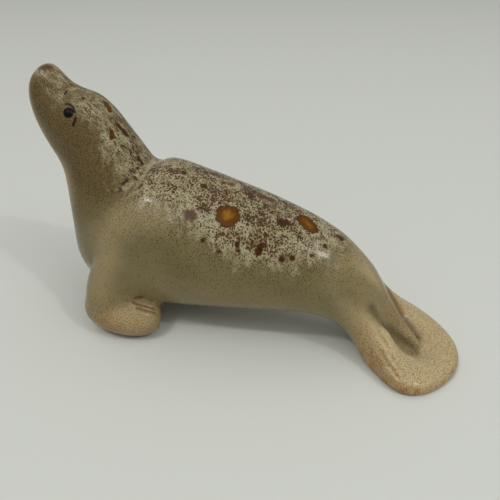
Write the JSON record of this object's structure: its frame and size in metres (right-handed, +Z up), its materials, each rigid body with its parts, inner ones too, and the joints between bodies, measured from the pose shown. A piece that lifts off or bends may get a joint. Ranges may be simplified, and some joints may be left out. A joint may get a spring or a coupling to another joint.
{
  "type": "seal figurine",
  "caption": "Glazed stoneware seal figurine, propped on its front flippers with its head raised and its tail fan flat on the ground.",
  "frame": {"origin": "the ground under the figurine, in the middle of its bounding box seen from above", "axes": "+X from the head towards the tail fan, -Y towards the seal's own left side, +Z up"},
  "size_m": [0.277, 0.1106, 0.159],
  "materials": {
    "oatmeal_glaze": "glossy reactive glaze: honey to oatmeal tan, brown and cream mottling along the back, darker spots"
  },
  "bodies": {
    "root": {"seal_figurine": "oatmeal_glaze"}
  },
  "joints": []
}
